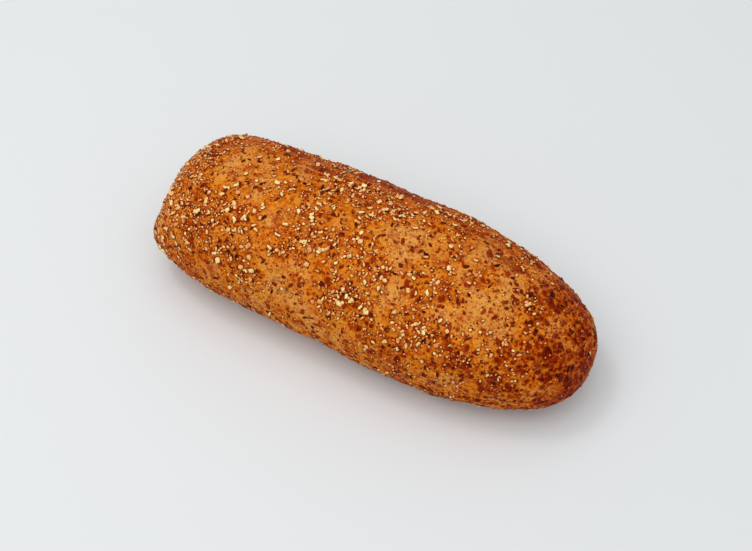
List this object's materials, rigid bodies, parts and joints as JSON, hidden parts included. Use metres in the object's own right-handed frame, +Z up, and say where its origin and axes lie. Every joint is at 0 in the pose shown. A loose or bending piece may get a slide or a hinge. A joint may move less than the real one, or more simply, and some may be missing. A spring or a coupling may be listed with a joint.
{
  "type": "bread loaf",
  "caption": "Whole hearth-baked multigrain loaf: a long oval body with a domed, grain-studded crust, lying on its flat underside.",
  "frame": {"origin": "middle of the footprint's bounding box, on the surface the loaf stands on", "axes": "+X along the loaf towards its rounder end, +Y across it, +Z up"},
  "size_m": [0.2898, 0.1132, 0.0824],
  "materials": {
    "crust": "baked wholegrain crust, golden orange-brown with reddish bran flecks, dry with a faint gloss",
    "cut_grain": "toasted cut oats and kibbled wheat, cream, satin",
    "bran": "baked bran flake, dark reddish brown, thin and dry",
    "seed": "baked linseed, near-black brown, slightly glossy",
    "grit": "malted wheat grit, amber, satin"
  },
  "bodies": {
    "root": {"loaf": "crust"}
  },
  "joints": []
}
